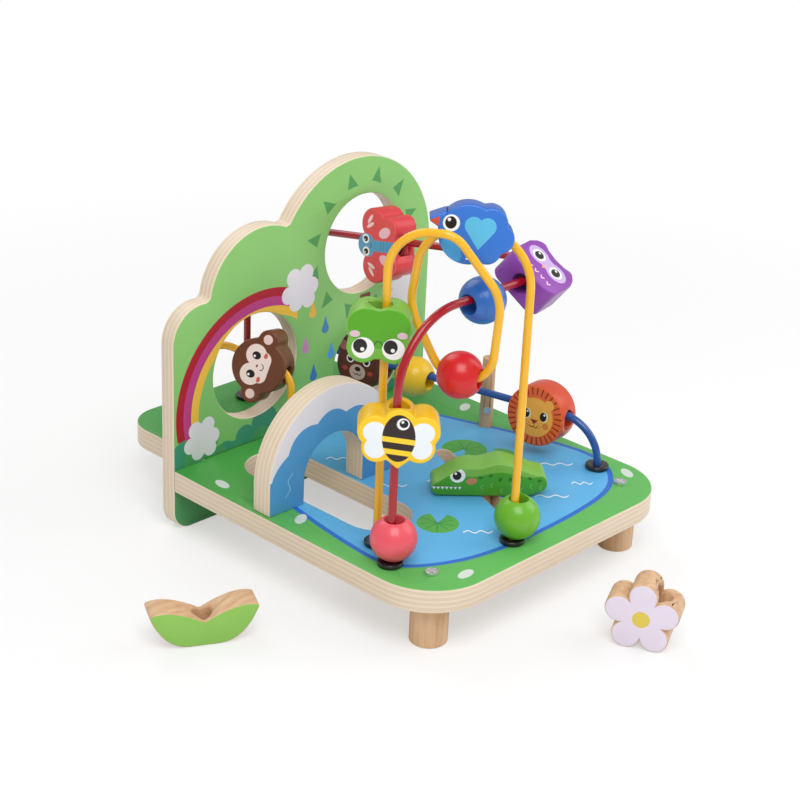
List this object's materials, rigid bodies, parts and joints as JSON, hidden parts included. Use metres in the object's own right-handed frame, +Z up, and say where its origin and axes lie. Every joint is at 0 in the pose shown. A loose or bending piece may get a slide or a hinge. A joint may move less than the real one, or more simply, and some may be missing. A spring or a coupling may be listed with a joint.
{
  "type": "bead_maze",
  "caption": "Wooden bead maze: printed plywood base and three-lobed back panel, bent coloured wires with round and animal beads, a sliding crocodile, loose flower and leaf",
  "frame": {"origin": "the middle of the back panel's bottom face, on the floor", "axes": "+Z up; -Y to the front, where the board and its two legs are; +X to the right as seen from the front"},
  "size_m": [0.334, 0.3966, 0.2564],
  "materials": {
    "lawn_board": "printed plywood, green lawn and blue pond on top, bare layered edges",
    "meadow_board": "printed plywood, light green faces, bare layered edges",
    "water_arch": "printed plywood, blue faces with white foam, bare layered edges",
    "bare_beech": "bare sanded beech",
    "screw_steel": "zinc plated",
    "yellow_wire": "glossy powder coat",
    "red_wire": "glossy powder coat",
    "blue_wire": "glossy powder coat",
    "black_cap": "moulded",
    "pink_paint": "lacquered beech",
    "green_paint": "lacquered beech",
    "red_paint": "lacquered beech",
    "blue_paint": "lacquered beech",
    "yellow_paint": "lacquered beech",
    "frog_paint": "painted beech with a printed face",
    "bee_paint": "painted beech with a printed face",
    "butterfly_paint": "painted beech with a printed face",
    "bird_paint": "painted beech with a printed face",
    "owl_paint": "painted beech with a printed face",
    "monkey_paint": "painted beech with a printed face",
    "lion_paint": "painted beech with a printed face",
    "bear_paint": "painted beech with a printed face",
    "crocodile_paint": "painted beech with a printed side",
    "flower_wood": "beech with a printed face",
    "leaf_wood": "beech with a printed face"
  },
  "bodies": {
    "toy": {"base_board": "lawn_board", "back_panel": "meadow_board", "arch_bridge": "water_arch", "front_left_leg": "bare_beech", "front_right_leg": "bare_beech", "leg_screws": "screw_steel", "arch_screws": "screw_steel", "panel_screws": "screw_steel", "flower_post": "bare_beech", "post_pin": "screw_steel", "yellow_loop_wire": "yellow_wire", "red_sweep_wire": "red_wire", "yellow_hill_wire": "yellow_wire", "blue_stream_wire": "blue_wire", "wire_caps": "black_cap"},
    "pink_ball": {"pink_ball": "pink_paint"},
    "bee_bead": {"bee_bead": "bee_paint"},
    "blue_ball": {"blue_ball": "blue_paint"},
    "owl_bead": {"owl_bead": "owl_paint"},
    "butterfly_bead": {"butterfly_bead": "butterfly_paint"},
    "green_ball": {"green_ball": "green_paint"},
    "frog_bead": {"frog_bead": "frog_paint"},
    "red_ball": {"red_ball": "red_paint"},
    "bird_bead": {"bird_bead": "bird_paint"},
    "monkey_bead": {"monkey_bead": "monkey_paint"},
    "lion_bead": {"lion_bead": "lion_paint"},
    "yellow_ball": {"yellow_ball": "yellow_paint"},
    "bear_bead": {"bear_bead": "bear_paint"},
    "crocodile_carriage": {"crocodile_bush": "bare_beech"},
    "crocodile": {"crocodile": "crocodile_paint", "crocodile_screw": "screw_steel"},
    "flower": {"flower": "flower_wood"},
    "leaf": {"leaf": "leaf_wood"}
  },
  "joints": [
    {"name": "pink_ball_slide", "type": "slide", "parent": "toy", "child": "pink_ball", "axis": [0, 0, 1], "range_m": [0, 0.015]},
    {"name": "bee_slide", "type": "slide", "parent": "toy", "child": "bee_bead", "axis": [0, 0, 1], "range_m": [-0.016, 0.004]},
    {"name": "blue_ball_slide", "type": "slide", "parent": "toy", "child": "blue_ball", "axis": [1, 0, 0.0068], "range_m": [-0.01, 0.013]},
    {"name": "owl_swing", "type": "hinge", "parent": "toy", "child": "owl_bead", "pos_m": [0.011, -0.14554, 0.18934], "axis": [-0.0067, 0.1685, 0.9857], "range_deg": [-3, 40]},
    {"name": "butterfly_slide", "type": "slide", "parent": "toy", "child": "butterfly_bead", "axis": [0, 0.9857, -0.1685], "range_m": [-0.06, 0.04]},
    {"name": "green_ball_slide", "type": "slide", "parent": "toy", "child": "green_ball", "axis": [0, 0, 1], "range_m": [0, 0.11]},
    {"name": "frog_slide", "type": "slide", "parent": "toy", "child": "frog_bead", "axis": [0, 0, 1], "range_m": [-0.07, 0.014]},
    {"name": "red_ball_swing", "type": "hinge", "parent": "toy", "child": "red_ball", "pos_m": [-0.05351, -0.18921, 0.16917], "axis": [0.9078, 0.4119, 0.0797], "range_deg": [-40, 18]},
    {"name": "bird_swing", "type": "hinge", "parent": "toy", "child": "bird_bead", "pos_m": [-0.04856, -0.18568, 0.20496], "axis": [0.7311, 0.6823, 0], "range_deg": [-4, 45]},
    {"name": "monkey_slide", "type": "slide", "parent": "toy", "child": "monkey_bead", "axis": [0.363, -0.9074, -0.2117], "range_m": [-0.005, 0.001]},
    {"name": "lion_slide", "type": "slide", "parent": "toy", "child": "lion_bead", "axis": [-0.211, 0.9775, 0], "range_m": [-0.002, 0.006]},
    {"name": "yellow_ball_slide", "type": "slide", "parent": "toy", "child": "yellow_ball", "axis": [-0.211, 0.9775, 0], "range_m": [-0.036, 0.003]},
    {"name": "bear_slide", "type": "slide", "parent": "toy", "child": "bear_bead", "axis": [-0.211, 0.9775, 0], "range_m": [-0.001, 0.019]},
    {"name": "crocodile_slide", "type": "slide", "parent": "toy", "child": "crocodile_carriage", "axis": [0.3584, 0.9336, 0], "range_m": [-0.029, 0.058]},
    {"name": "crocodile_turn", "type": "hinge", "parent": "crocodile_carriage", "child": "crocodile", "pos_m": [0.015, -0.155, 0.045], "axis": [0, 0, 1], "range_deg": [-40, 40]},
    {"name": "flower_lift", "type": "slide", "parent": "toy", "child": "flower", "axis": [0, 0, 1], "range_m": [0, 0.05]},
    {"name": "leaf_lift", "type": "slide", "parent": "toy", "child": "leaf", "axis": [0, 0, 1], "range_m": [0, 0.05]}
  ]
}
